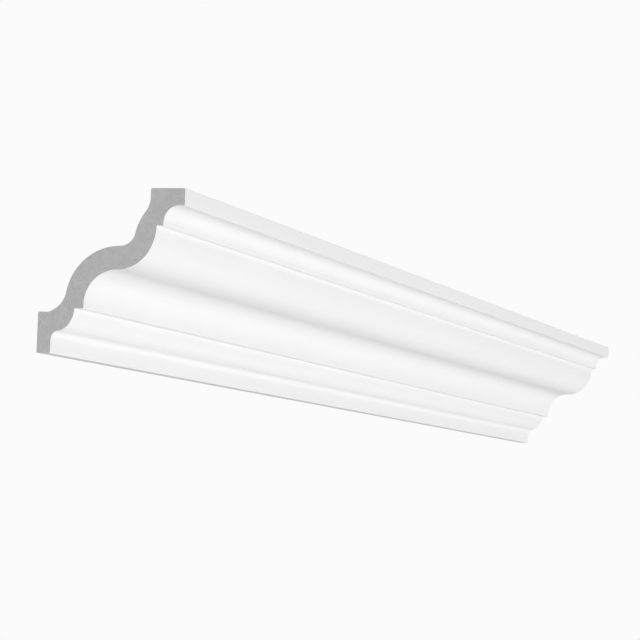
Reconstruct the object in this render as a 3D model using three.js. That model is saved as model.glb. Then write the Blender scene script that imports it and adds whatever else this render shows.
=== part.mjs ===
// A length of cornice moulding: one thin-walled strip of constant section, with a classical
// face, an open hollow behind it and two flat strips that are glued, one upright at the foot
// of the back and one level along the top.
// Millimetres. +X is out from the back, +Y along the length, +Z up.
// The origin is the middle of the upright strip.

import * as THREE from "three";

// Driving dimensions
const LENGTH = 1000;
const PROJECTION = 68; // out from the upright strip to the front edge
const DROP = 75; // from the level strip down to the foot
const UPRIGHT_STRIP = 18.8; // height of that strip
const FOOT_THICKNESS = 6.7; // of the lowest edge, from the upright strip to the face
const FACET_ANGLE = Math.PI / 36; // turn from one facet of a round member to the next

// The members of the face from the top down, each with how far it goes in and down.
// The small ovolo stops a little short of its quarter turn, where the foot's cove begins.
const TOP_FILLET = 7.8;
const TOP_LIP = 2.2;
const UPPER_COVE = { inward: 7.5, down: 7.5 };
const UPPER_COVE_FILLET = 1.6;
const UPPER_STEP = 3.2;
const LARGE_OVOLO = { inward: 17.6, down: 20 };
const LARGE_COVE = { inward: 15.7, down: 15.6 };
const LARGE_COVE_FILLET = 2.1;
const LOWER_STEP = 4.4;
const SMALL_OVOLO = { inward: 8.6, down: 10.4, turn: (78 / 180) * Math.PI };
const FOOT_COVE_DOWN = 3.8;

// The hollow behind runs from the upright strip to the level strip as arcs that flow into each
// other, by turns round the hollow and round the face. Each centre is given by how far it is
// out from the one and down from the other. The first radius fixes all the others.
const FIRST_TROUGH_RADIUS = 11.7;
const HOLLOW_CENTRES = [
  { out: 1.6, down: 45 }, // trough behind the foot
  { out: 38, down: 51.35 }, // round the back of the large cove
  { out: 37.9, down: 18.85 }, // trough behind the large ovolo
  { out: 69.05, down: 25.5 }, // slope behind the upper step
  { out: 41.1, down: 4.2 }, // bend up to the level strip
];

const QUARTER_TURN = Math.PI / 2;

// A point of the section, which is drawn with zero where the planes of the two strips meet.
const point = (out, down) => new THREE.Vector2(out, -down);

// The points round an elliptical arc, from one direction to another, its first point left out.
function arc(centre, across, high, from, to) {
  const facets = Math.ceil(Math.abs(to - from) / FACET_ANGLE);
  return Array.from({ length: facets }, (_, i) => {
    const angle = from + ((to - from) * (i + 1)) / facets;
    return new THREE.Vector2(
      centre.x + across * Math.cos(angle),
      centre.y + high * Math.sin(angle),
    );
  });
}

// A swelling member that starts upright at a point and turns in under it.
function ovolo(start, { inward, down, turn = QUARTER_TURN }) {
  const centre = new THREE.Vector2(start.x - inward, start.y);
  return arc(centre, inward, down, 0, -turn);
}

// A hollowed member that starts level at a point and turns down below it.
function cove(start, { inward, down }) {
  const centre = new THREE.Vector2(start.x, start.y - down);
  return arc(centre, inward, down, QUARTER_TURN, 2 * QUARTER_TURN);
}

// The face of the section, from its top edge to the underside of its foot.
function facePoints() {
  const points = [point(PROJECTION, 0)];
  const last = () => points.at(-1);
  const step = (inward, down) => {
    points.push(new THREE.Vector2(last().x - inward, last().y - down));
  };
  step(0, TOP_FILLET);
  step(TOP_LIP, 0);
  points.push(...cove(last(), UPPER_COVE));
  step(0, UPPER_COVE_FILLET);
  step(UPPER_STEP, 0);
  points.push(...ovolo(last(), LARGE_OVOLO));
  points.push(...cove(last(), LARGE_COVE));
  step(0, LARGE_COVE_FILLET);
  step(LOWER_STEP, 0);
  points.push(...ovolo(last(), SMALL_OVOLO));
  const footCove = { inward: last().x - FOOT_THICKNESS, down: FOOT_COVE_DOWN };
  points.push(...cove(last(), footCove));
  points.push(point(FOOT_THICKNESS, DROP));
  return points;
}

// The hollow side of the section, from the top of the upright strip to the level strip.
// Two neighbouring arcs touch on the line between their centres, so each radius is what the
// one before it leaves of that distance.
function hollowPoints() {
  const centres = HOLLOW_CENTRES.map(({ out, down }) => point(out, down));
  const direction = (centre, target) => Math.atan2(target.y - centre.y, target.x - centre.x);

  const ledgeHeight = UPRIGHT_STRIP - DROP;
  const fall = centres[0].y - ledgeHeight;
  const ledge = Math.sqrt(FIRST_TROUGH_RADIUS ** 2 - fall ** 2);
  const points = [new THREE.Vector2(centres[0].x + ledge, ledgeHeight)];

  let radius = FIRST_TROUGH_RADIUS;
  centres.forEach((centre, i) => {
    const next = centres[i + 1];
    const to = next ? direction(centre, next) : 0;
    points.push(...arc(centre, radius, radius, direction(centre, points.at(-1)), to));
    radius = next ? centre.distanceTo(next) - radius : radius;
  });
  points.push(new THREE.Vector2(points.at(-1).x, 0));
  return points;
}

function makeSection() {
  const uprightStrip = [point(0, DROP), point(0, DROP - UPRIGHT_STRIP)];
  return new THREE.Shape([...facePoints(), ...uprightStrip, ...hollowPoints()]);
}

// The section carried along the whole length and cut square at both ends.
function makeMoulding() {
  const geometry = new THREE.ExtrudeGeometry(makeSection(), {
    depth: LENGTH,
    bevelEnabled: false,
  });
  const whitePrimer = new THREE.MeshStandardMaterial({
    color: "#f5f5f4",
    roughness: 0.55,
    metalness: 0,
  });
  const moulding = new THREE.Mesh(geometry, whitePrimer);
  moulding.name = "cornice_moulding";
  moulding.rotation.x = QUARTER_TURN;
  moulding.position.set(0, LENGTH / 2, DROP - UPRIGHT_STRIP / 2);
  return moulding;
}

const group = new THREE.Group();
group.add(makeMoulding());

export default group;
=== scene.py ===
"""Finish of a length of cornice moulding: one moulded strip of white primed foam, its face
smooth, its back plain, and its two ends sawn square so that the grey foam shows."""

import math

import bpy
import numpy as np
from mathutils import Euler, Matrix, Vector


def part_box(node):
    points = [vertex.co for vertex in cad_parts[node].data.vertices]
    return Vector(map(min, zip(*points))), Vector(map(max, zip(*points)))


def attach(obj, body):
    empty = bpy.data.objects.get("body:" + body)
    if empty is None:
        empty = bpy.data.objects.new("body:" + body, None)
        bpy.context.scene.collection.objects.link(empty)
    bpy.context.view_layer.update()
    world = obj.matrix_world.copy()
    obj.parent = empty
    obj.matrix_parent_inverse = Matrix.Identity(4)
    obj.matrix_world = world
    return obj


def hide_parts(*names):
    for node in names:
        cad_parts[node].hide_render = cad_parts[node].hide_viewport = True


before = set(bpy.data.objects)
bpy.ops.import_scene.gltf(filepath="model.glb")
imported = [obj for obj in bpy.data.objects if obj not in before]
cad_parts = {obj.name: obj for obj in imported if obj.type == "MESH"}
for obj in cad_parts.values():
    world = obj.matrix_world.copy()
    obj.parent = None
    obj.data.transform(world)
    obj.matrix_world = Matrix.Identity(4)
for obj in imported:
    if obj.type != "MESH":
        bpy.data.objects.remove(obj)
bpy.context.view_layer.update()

MM = 0.001  # lengths are in metres where nothing else is said
NODE = "cornice_moulding"
LOW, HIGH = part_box(NODE)
PROJECTION = HIGH.x - LOW.x
DROP = HIGH.z - LOW.z
LENGTH = HIGH.y - LOW.y

# The members of the face from the top down, as (inward, down) or as one of the two.
TOP_FILLET = 7.8 * MM
TOP_LIP = 2.2 * MM
UPPER_COVE = np.array([7.5, 7.5]) * MM
UPPER_COVE_FILLET = 1.6 * MM
UPPER_STEP = 3.2 * MM
LARGE_OVOLO = np.array([17.6, 20]) * MM
LARGE_COVE = np.array([15.7, 15.6]) * MM
LARGE_COVE_FILLET = 2.1 * MM
LOWER_STEP = 4.4 * MM
SMALL_OVOLO = np.array([8.6, 10.4]) * MM
SMALL_OVOLO_TURN = math.radians(78)
FOOT_COVE_DOWN = 3.8 * MM
FOOT_THICKNESS = 6.7 * MM

# The back: the upright glued strip, then arcs round the hollow and round the face by turns,
# each centre as (out from that strip, up from the level strip), up to the level glued strip.
UPRIGHT_STRIP = 18.8 * MM
FIRST_TROUGH_RADIUS = 11.7 * MM
HOLLOW_CENTRES = np.array(
    [[1.6, -45], [38, -51.35], [37.9, -18.85], [69.05, -25.5], [41.1, -4.2]]
) * MM

# The roundings of the moulded edges, from the top of each side down.
FACE_ARRIS = 0.35 * MM
FACE_CORNER = 0.45 * MM  # the same in the inner corners of the steps
FACE_ROUNDINGS = [FACE_ARRIS] * 3 + [FACE_CORNER, FACE_ARRIS, FACE_CORNER, FACE_CORNER, FACE_ARRIS]
BACK_ARRIS = 0.6 * MM
BACK_ROUNDINGS = [BACK_ARRIS] * 4
BEND_POINTS = 6  # round each of these
STUB = 1.0 * MM  # of each glued strip, drawn only to round the corner beside it
POINT_GAP = 0.5 * MM  # between two points of the outline on its round members

STATION_GAP = 50 * MM  # between two stations along the length
SAWN_ARRIS = 0.12 * MM  # how far the paint is broken back round a sawn end
SKIN_DEPTH = 0.32 * MM  # of the closer foam under the moulded surface
SHARP_ANGLE = math.radians(25)
QUARTER = math.pi / 2

PLAIN_BACK, PRIMED_FACE, SAWN_END = range(3)  # the finishes, by their place on the piece
SKIN = "skin"  # the name under which the mesh keeps how close its foam is

# Primer on the face. A tone is a brightness from 0 to 1, a shade is a share of the tone, a
# width is how wide one patch of a pattern is, and a depth is how far its relief stands out.
FACE_TONE = 0.815
STREAK_WIDTH = 4 * MM
STREAK_STRETCH = 40  # how many times longer than wide, along the length
STREAK_SHADE = 0.975
BROAD_WIDTH = 90 * MM
BROAD_SHADE = 0.985
SATIN = (0.44, 0.54)  # roughness, from the smoothest place to the roughest
SATIN_WIDTH = 12 * MM
RIDGE_WIDTH = 3 * MM
RIDGE_STRETCH = 60
RIDGE_DEPTH = 0.02 * MM
PEEL_WIDTH = 1.3 * MM
PEEL_DEPTH = 0.05 * MM

# Primer on the back
BACK_TONE = 0.76
MOTTLE_WIDTH = 11 * MM
MOTTLE_SHADE = 0.93
PATCH_WIDTH = 60 * MM
PATCH_SHADE = 0.95
FLAT = (0.62, 0.74)
DIMPLE_WIDTH = 6 * MM
DIMPLE_DEPTH = 0.25 * MM
GRAIN_WIDTH = 0.9 * MM
GRAIN_DEPTH = 0.05 * MM

# Sawn foam. The reach of a cell or a void is where it begins and stops to fade, as shares of
# the distance between two of them.
FOAM_TONE = 0.555
SKIN_TONE = 0.44
CLOUD_WIDTH = 3 * MM
CLOUD_SHADES = (0.95, 1.07)
CELL_GAP = 0.5 * MM
CELL_REACH = (0.1, 0.5)
# Painted shade: how dark the colour is made inside each cell pit, standing in for the shade that
# falls into it
CELL_PAINTED_SHADE = 0.86
CELL_DEPTH = 0.06 * MM
VOID_GAP = 2.4 * MM
VOID_REACH = (0.05, 0.16)
# Painted shade: how dark the colour is made inside each void, standing in for the shade that falls
# into it
VOID_PAINTED_SHADE = 0.72
VOID_DEPTH = 2 * CELL_DEPTH
SAW_MARK_PITCH = 2.6 * MM
SAW_MARK_DEPTH = 0.015 * MM
BLADE_CENTRE = (-0.09, 0, 0.14)
FOAM_ROUGHNESS = 0.9
FOAM_GLOSS = 0.2

FLOOR_HEIGHT = -4.9  # below even the lowest view of the underside
FLOOR_RADIUS = 35.6
FLOOR_SPOKES = 96
FLOOR_RINGS = 11
FLOOR_TONE = 0.73
FLOOR_SHADE = 0.99
FLOOR_PATCH = 0.8
FLOOR_ROUGHNESS = 0.8

BACKDROP = 0.965  # brightness seen beyond the far end
BACKDROP_ASIDE = 0.64
BACKDROP_OVERHEAD = 0.64
TURN_ASIDE = (0.8, 0.89)  # the share of +Y in a direction, where aside turns to beyond the end
TURN_OVERHEAD = (0.22, 0.5)  # the share of +Z, where round about turns to overhead

DAYLIGHT = 0.37  # strength of the even light from all round
OVERHEAD = 1.5  # watts to the square metre, from straight above
OVERHEAD_SPREAD = math.radians(30)
LAMPS = {  # each lamp's place, its width across and its watts
    "low_soft_lamp": ((5.3, -0.6, -2.8), 2.4, 269),
    "low_far_lamp": ((1.78, 4.88, -3.0), 3.6, 25),
    "near_end_lamp": ((0.6, -4.5, -0.4), 1.4, 61),
    "far_end_lamp": ((-0.4, 4.5, 0.4), 1.4, 32),
    "high_soft_lamp": ((-1.6, 0.7, 1.9), 1.4, 20),
}

# The camera: its frame and lens in mm, the nearest and farthest that it draws, its place,
# and how it is turned to the left, tipped up and leant over.
SENSOR = 36
LENS = 166.9
NEAREST = 0.05
FARTHEST = 100
CAMERA_PLACE = (0.502, -1.744, -0.0868)
CAMERA_TURN = math.radians(16.42)
CAMERA_TIP = math.radians(4.59)
CAMERA_LEAN = math.radians(-0.87)


def arc(centre, radii, start, end):
    """Points round an ellipse: its centre plus radii times (cos, sin) of evenly spaced angles."""
    count = 2 + int(abs(end - start) * max(radii) / POINT_GAP)
    angles = np.linspace(start, end, count)
    return centre + radii * np.stack([np.cos(angles), np.sin(angles)], axis=1)


def ovolo(start, radii, turn=QUARTER):
    """A swelling member, upright at its start: an arc about the point level with the start."""
    return arc(start - [radii[0], 0], radii, 0, -turn)


def cove(start, radii):
    """A hollowed member, level at its start: an arc about the point straight below the start."""
    return arc(start - [0, radii[1]], radii, QUARTER, 2 * QUARTER)


def face_runs():
    """The smooth stretches of the face from the top down, which meet in its corners."""
    def after(point, inward, down):
        """The point so far inward and down from another."""
        return point - [inward, down]

    edge = np.array([PROJECTION, 0])
    lip = after(edge, 0, TOP_FILLET)
    upper_cove = cove(after(lip, TOP_LIP, 0), UPPER_COVE)
    upper_arris = after(upper_cove[-1], 0, UPPER_COVE_FILLET)
    upper_corner = after(upper_arris, UPPER_STEP, 0)
    large_ovolo = ovolo(upper_corner, LARGE_OVOLO)
    large_cove = cove(large_ovolo[-1], LARGE_COVE)
    lower_arris = after(large_cove[-1], 0, LARGE_COVE_FILLET)
    lower_corner = after(lower_arris, LOWER_STEP, 0)
    small_ovolo = ovolo(lower_corner, SMALL_OVOLO, SMALL_OVOLO_TURN)
    foot_start = small_ovolo[-1]
    foot_cove = cove(foot_start, [foot_start[0] - FOOT_THICKNESS, FOOT_COVE_DOWN])
    foot = np.array([FOOT_THICKNESS, -DROP])
    return [
        [after(edge, STUB, 0), edge],
        [edge, lip],
        [lip, *upper_cove, upper_arris],
        [upper_arris, upper_corner],
        [*large_ovolo, *large_cove[1:], lower_arris],
        [lower_arris, lower_corner],
        small_ovolo,
        [*foot_cove, foot],
        [foot, after(foot, STUB, 0)],
    ]


def hollow_arcs():
    """The arcs of the hollow from the upright strip up. Neighbours touch on the line between
    their centres, so each radius is what the one before leaves of that distance."""
    ledge = UPRIGHT_STRIP - DROP
    radius = FIRST_TROUGH_RADIUS
    fall = HOLLOW_CENTRES[0, 1] - ledge
    point = np.array([HOLLOW_CENTRES[0, 0] + math.sqrt(radius**2 - fall**2), ledge])
    runs = []
    for centre, following in zip(HOLLOW_CENTRES, [*HOLLOW_CENTRES[1:], None]):
        away = np.array([1, 0]) if following is None else following - centre
        start = math.atan2(*(point - centre)[::-1])
        runs.append(arc(centre, [radius, radius], start, math.atan2(away[1], away[0])))
        radius = math.hypot(*away) - radius
        point = runs[-1][-1]
    return runs


def back_runs():
    """The smooth stretches of the back from the top down, which meet in its corners."""
    hollow = np.concatenate([run[1:] if i else run for i, run in enumerate(hollow_arcs())])
    top_corner = np.array([hollow[-1, 0], 0])
    strip_top = np.array([0, UPRIGHT_STRIP - DROP])
    strip_foot = np.array([0, -DROP])
    return [
        [top_corner + [STUB, 0], top_corner],
        [top_corner, *hollow[::-1]],
        [hollow[0], strip_top],
        [strip_top, strip_foot],
        [strip_foot, strip_foot + [STUB, 0]],
    ]


def rounded(runs, radii):
    """The runs as one line, with the corner between two of them replaced by an arc that
    touches both: it starts and ends radius times tan(half the turn) from the corner. The line
    begins with its first arc and ends with its last one."""
    line = np.asarray(runs[0], float)
    for run, radius in zip(runs[1:], radii, strict=True):
        corner = run[0]
        came = (corner - line[-2]) / math.dist(corner, line[-2])
        goes = (run[1] - corner) / math.dist(run[1], corner)
        turn = math.atan2(came[0] * goes[1] - came[1] * goes[0], came @ goes)
        outward = np.array([came[1], -came[0]]) * math.copysign(1, turn)
        centre = corner - came * radius * math.tan(abs(turn) / 2) - outward * radius
        angles = math.atan2(outward[1], outward[0]) + turn * np.linspace(0, 1, BEND_POINTS)
        bend = centre + radius * np.stack([np.cos(angles), np.sin(angles)], axis=1)
        line = np.concatenate([line[:-1], bend, run[1:]])
    return line[1:-1]


def outline():
    """The closed line round the section, and how many of its points are on the face."""
    face = rounded(face_runs(), FACE_ROUNDINGS)
    back = rounded(back_runs(), BACK_ROUNDINGS)
    return np.concatenate([face, back[::-1]]), len(face)


def set_in(loop, depth):
    """A closed line moved inwards: each point goes depth along the normal of the line
    through its two neighbours."""
    along = np.roll(loop, -1, axis=0) - np.roll(loop, 1, axis=0)
    along /= np.linalg.norm(along, axis=1)[:, None]
    return loop + depth * np.stack([along[:, 1], -along[:, 0]], axis=1)


def quads(index):
    """The four-cornered faces of a grid of point numbers."""
    return np.stack(
        [index[:-1, :-1], index[:-1, 1:], index[1:, 1:], index[1:, :-1]], axis=-1
    ).reshape(-1, 4)


def moulded_length():
    """Points, faces, finishes and skin of the whole piece. The outline is carried along the
    length; at both ends it goes in round the broken arris and the skin, and a flat face closes
    it. The skin is 1 on the moulded surface and 0 below its depth."""
    whole, face_count = outline()
    broken = set_in(whole, SAWN_ARRIS)
    core = set_in(whole, SKIN_DEPTH)
    count = 1 + round(LENGTH / STATION_GAP)
    stations = np.linspace(LOW.y + SAWN_ARRIS, HIGH.y - SAWN_ARRIS, count)
    along = np.concatenate([[LOW.y] * 2, stations, [HIGH.y] * 2])
    rings = np.stack([core, broken, *[whole] * count, broken, core])
    points = np.stack(
        [
            LOW.x + rings[..., 0],
            np.broadcast_to(along[:, None], rings.shape[:2]),
            HIGH.z + rings[..., 1],
        ],
        axis=-1,
    ).reshape(-1, 3)
    index = np.arange(len(points)).reshape(rings.shape[:2])
    sides = quads(np.column_stack([index, index[:, 0]]))
    faces = [*sides.tolist(), index[0, ::-1].tolist(), index[-1].tolist()]

    place = np.tile(np.arange(len(whole)), len(rings) - 1).reshape(-1, len(whole))
    finishes = np.where(place < face_count - 1, PRIMED_FACE, PLAIN_BACK)
    finishes[[0, -1]] = SAWN_END
    finishes = np.append(finishes.ravel(), [SAWN_END] * 2)
    skin = np.ones(rings.shape[:2])
    skin[[0, -1]] = 0
    return points, faces, finishes, skin.ravel()


def make_piece(name, materials):
    """The whole moulded length as one mesh, smooth but for its corners, with its finishes in
    the order of their numbers."""
    points, faces, finishes, skin = moulded_length()
    mesh = bpy.data.meshes.new(name)
    mesh.from_pydata(points, [], faces)
    for material in materials:
        mesh.materials.append(material)
    mesh.polygons.foreach_set("material_index", finishes.astype(np.int32))
    mesh.attributes.new(SKIN, "FLOAT", "POINT").data.foreach_set("value", skin)
    mesh.shade_smooth()
    mesh.set_sharp_from_angle(angle=SHARP_ANGLE)
    piece = bpy.data.objects.new(name, mesh)
    bpy.context.scene.collection.objects.link(piece)
    return piece


def node(tree, kind, inputs, **settings):
    """A new node of a material, with its settings and its inputs: each input is a plain value
    or another node's output."""
    made = tree.nodes.new(kind)
    for name, value in settings.items():
        setattr(made, name, value)
    for name, value in inputs.items():
        if isinstance(value, bpy.types.NodeSocket):
            tree.links.new(value, made.inputs[name])
        else:
            made.inputs[name].default_value = value
    return made


def noise(tree, size, detail=2.0, stretch=1.0):
    """Cloudy values from 0 to 1 on the piece's own coordinates: size is how wide a patch is,
    and stretch how many times longer than wide it is, along the length."""
    place = node(tree, "ShaderNodeTexCoord", {}).outputs["Object"]
    turned = node(tree, "ShaderNodeMapping", {"Vector": place, "Scale": (1, 1 / stretch, 1)})
    cloud = {"Vector": turned.outputs["Vector"], "Scale": 1 / size, "Detail": detail}
    return node(tree, "ShaderNodeTexNoise", cloud).outputs[0]


def between(tree, value, low, high, start=0.3, end=0.7):
    """A value's run from start to end, as a run from low to high, and no further."""
    run = {"Value": value, "From Min": start, "From Max": end, "To Min": low, "To Max": high}
    return node(tree, "ShaderNodeMapRange", run).outputs["Result"]


def blend(tree, factor, first, second):
    """The first colour where the factor is 0 and the second where it is 1."""
    mixed = {0: factor, 6: first, 7: second}
    return node(tree, "ShaderNodeMix", mixed, data_type="RGBA").outputs[2]


def relief(tree, height, depth, over=None):
    """The shading of a surface that stands out by depth where the height is 1."""
    inputs = {"Height": height, "Distance": depth}
    if over is not None:
        inputs["Normal"] = over
    return node(tree, "ShaderNodeBump", inputs).outputs["Normal"]


def grey(level):
    """A neutral colour of that brightness."""
    return (level, level, level, 1)


def new_finish(name):
    """A new material, its nodes and its shader."""
    material = bpy.data.materials.new(name)
    material.use_nodes = True
    return material, material.node_tree, material.node_tree.nodes["Principled BSDF"]


def primed_face():
    """Smooth satin primer: faint streaks along the length from the spraying, broad soft
    changes of tone, and a fine orange peel."""
    material, tree, shader = new_finish("white_satin_primer")
    streaks = between(tree, noise(tree, STREAK_WIDTH, detail=3, stretch=STREAK_STRETCH), 0, 1)
    broad = between(tree, noise(tree, BROAD_WIDTH, stretch=3), 0, 1)
    tone = blend(tree, streaks, grey(FACE_TONE * STREAK_SHADE), grey(FACE_TONE))
    tone = blend(tree, broad, tone, grey(FACE_TONE * BROAD_SHADE))
    rough = between(tree, noise(tree, SATIN_WIDTH, detail=3, stretch=6), *SATIN)
    ridges = relief(tree, noise(tree, RIDGE_WIDTH, stretch=RIDGE_STRETCH), RIDGE_DEPTH)
    peel = relief(tree, noise(tree, PEEL_WIDTH), PEEL_DEPTH, over=ridges)
    tree.links.new(tone, shader.inputs["Base Color"])
    tree.links.new(rough, shader.inputs["Roughness"])
    tree.links.new(peel, shader.inputs["Normal"])
    return material


def plain_back():
    """Thin flat primer over the moulded skin: mottled, with shallow dimples."""
    material, tree, shader = new_finish("thin_flat_primer")
    mottle = between(tree, noise(tree, MOTTLE_WIDTH, detail=5), 0, 1)
    patches = between(tree, noise(tree, PATCH_WIDTH, stretch=3), 0, 1)
    tone = blend(tree, mottle, grey(BACK_TONE * MOTTLE_SHADE), grey(BACK_TONE))
    tone = blend(tree, patches, tone, grey(BACK_TONE * PATCH_SHADE))
    dimples = relief(tree, noise(tree, DIMPLE_WIDTH, detail=3), DIMPLE_DEPTH)
    grain = relief(tree, noise(tree, GRAIN_WIDTH), GRAIN_DEPTH, over=dimples)
    tree.links.new(tone, shader.inputs["Base Color"])
    tree.links.new(between(tree, mottle, *FLAT, start=0, end=1), shader.inputs["Roughness"])
    tree.links.new(grain, shader.inputs["Normal"])
    return material


def near_points(tree, gap, inner, outer):
    """1 near points scattered about a gap apart, falling to 0 from the inner to the outer
    share of that distance."""
    place = node(tree, "ShaderNodeTexCoord", {}).outputs["Object"]
    scattered = node(tree, "ShaderNodeTexVoronoi", {"Vector": place, "Scale": 1 / gap})
    return between(tree, scattered.outputs["Distance"], 1, 0, inner, outer)


def sawn_end():
    """Bare rigid foam: a cloudy tone, fine cells and a few larger voids sunk as pits, their colour
    darkened as painted shade, the faint arcs of a round saw blade as the sine of the distance
    from its centre, and a closer, darker skin round the rim."""
    material, tree, shader = new_finish("sawn_grey_foam")
    place = node(tree, "ShaderNodeTexCoord", {}).outputs["Object"]
    from_blade = node(
        tree, "ShaderNodeVectorMath", {0: place, 1: BLADE_CENTRE}, operation="DISTANCE"
    ).outputs["Value"]
    turns = {0: from_blade, 1: 2 * math.pi / SAW_MARK_PITCH}
    phase = node(tree, "ShaderNodeMath", turns, operation="MULTIPLY").outputs[0]
    marks = node(tree, "ShaderNodeMath", {0: phase}, operation="SINE").outputs[0]
    # Masks of the cell pits and the voids: they shape the relief and also carry the painted shade
    # in the colour
    cell_pits_and_painted_shade = near_points(tree, CELL_GAP, *CELL_REACH)
    void_pits_and_painted_shade = near_points(tree, VOID_GAP, *VOID_REACH)
    skin = node(tree, "ShaderNodeAttribute", {}, attribute_name=SKIN).outputs["Fac"]
    clouds = between(tree, noise(tree, CLOUD_WIDTH, detail=5), 0, 1)
    tone = blend(tree, clouds, *[grey(FOAM_TONE * shade) for shade in CLOUD_SHADES])
    # Painted shade: the foam's colour is darkened in the cell pits, and more in the voids,
    # standing in for the shade inside them
    tone = blend(tree, cell_pits_and_painted_shade, tone, grey(FOAM_TONE * CELL_PAINTED_SHADE))
    tone = blend(tree, void_pits_and_painted_shade, tone, grey(FOAM_TONE * VOID_PAINTED_SHADE))
    tone = blend(tree, skin, tone, grey(SKIN_TONE))
    sawn = relief(tree, marks, SAW_MARK_DEPTH)
    open_cells = relief(tree, cell_pits_and_painted_shade, -CELL_DEPTH, over=sawn)
    tree.links.new(tone, shader.inputs["Base Color"])
    tree.links.new(relief(tree, void_pits_and_painted_shade, -VOID_DEPTH, over=open_cells), shader.inputs["Normal"])
    shader.inputs["Roughness"].default_value = FOAM_ROUGHNESS
    shader.inputs["Specular IOR Level"].default_value = FOAM_GLOSS
    return material


def make_floor():
    """A plain pale floor: a flat round surface, each point worked out from its distance from
    the middle and its angle round it, with a slight change of tone."""
    angle = np.linspace(0, 2 * math.pi, FLOOR_SPOKES, endpoint=False)[None, :]
    radius = np.linspace(0, FLOOR_RADIUS, 1 + FLOOR_RINGS)[1:, None]
    ring = np.stack([radius * np.cos(angle), radius * np.sin(angle)], axis=-1)
    x, y = ring.reshape(-1, 2).T
    points = np.stack([x, y, np.full_like(x, FLOOR_HEIGHT)], axis=1)
    index = np.arange(len(x)).reshape(ring.shape[:2])
    faces = quads(np.column_stack([index, index[:, 0]]))[:, ::-1].tolist()
    mesh = bpy.data.meshes.new("floor")
    mesh.from_pydata(points, [], [*faces, index[0].tolist()])
    material, tree, shader = new_finish("pale_floor")
    tone = blend(tree, noise(tree, FLOOR_PATCH), grey(FLOOR_TONE * FLOOR_SHADE), grey(FLOOR_TONE))
    tree.links.new(tone, shader.inputs["Base Color"])
    shader.inputs["Roughness"].default_value = FLOOR_ROUGHNESS
    mesh.materials.append(material)
    floor = bpy.data.objects.new("floor", mesh)
    bpy.context.scene.collection.objects.link(floor)
    floor.visible_diffuse = False
    floor.visible_glossy = False


def make_lamp(name, place, width, watts, lit):
    """A round soft lamp that faces the middle of the piece and isn't seen itself. It lights
    only what is in the lit collection, so that the floor stays even."""
    light = bpy.data.lights.new(name, "AREA")
    light.shape = "DISK"
    light.size = width
    light.energy = watts
    lamp = bpy.data.objects.new(name, light)
    lamp.location = place
    lamp.rotation_euler = (-Vector(place)).to_track_quat("-Z", "Y").to_euler()
    lamp.visible_camera = False
    lamp.light_linking.receiver_collection = lit
    bpy.context.scene.collection.objects.link(lamp)


def make_overhead_light():
    """Soft light straight from above, on the floor and the top of the piece."""
    light = bpy.data.lights.new("overhead_light", "SUN")
    light.energy = OVERHEAD
    light.angle = OVERHEAD_SPREAD
    lamp = bpy.data.objects.new("overhead_light", light)
    bpy.context.scene.collection.objects.link(lamp)


def make_daylight():
    """Even light from all round, and a plain backdrop that shows paler than it lights: near
    white beyond the far end, and a pale grey overhead and round the other sides, against
    which the white face stands out."""
    world = bpy.data.worlds.new("soft_daylight")
    world.use_nodes = True
    tree = world.node_tree
    direction = node(tree, "ShaderNodeTexCoord", {}).outputs["Generated"]
    parts = node(tree, "ShaderNodeSeparateXYZ", {0: direction}).outputs
    round_about = between(tree, parts["Y"], BACKDROP_ASIDE, BACKDROP, *TURN_ASIDE)
    backdrop = between(tree, parts["Z"], round_about, BACKDROP_OVERHEAD, *TURN_OVERHEAD)
    seen = node(tree, "ShaderNodeLightPath", {}).outputs["Is Camera Ray"]
    strength = node(tree, "ShaderNodeMix", {0: seen, 2: DAYLIGHT, 3: backdrop}).outputs[0]
    tree.links.new(strength, tree.nodes["Background"].inputs["Strength"])
    tree.nodes["Background"].inputs["Color"].default_value = grey(1)
    bpy.context.scene.world = world
    bpy.context.scene.view_settings.view_transform = "Standard"


def make_camera():
    """Below the piece and to the right of its near end, turned towards it and tipped up."""
    camera = bpy.data.cameras.new("camera")
    camera.lens = LENS
    camera.sensor_width = SENSOR
    camera.clip_start = NEAREST
    camera.clip_end = FARTHEST
    body = bpy.data.objects.new("camera", camera)
    level = Euler((QUARTER, 0, 0)).to_matrix()
    turned = Euler((CAMERA_TIP, CAMERA_LEAN, CAMERA_TURN), "ZXY").to_matrix()
    body.rotation_euler = (turned @ level).to_euler()
    body.location = CAMERA_PLACE
    bpy.context.scene.collection.objects.link(body)
    bpy.context.scene.camera = body


make_camera()
piece = make_piece("cornice_length", [plain_back(), primed_face(), sawn_end()])
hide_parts(NODE)
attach(piece, "root")
make_floor()
lit_pieces = bpy.data.collections.new("lit_pieces")
lit_pieces.objects.link(piece)
for lamp_name, (lamp_place, lamp_width, lamp_watts) in LAMPS.items():
    make_lamp(lamp_name, lamp_place, lamp_width, lamp_watts, lit_pieces)
make_overhead_light()
make_daylight()
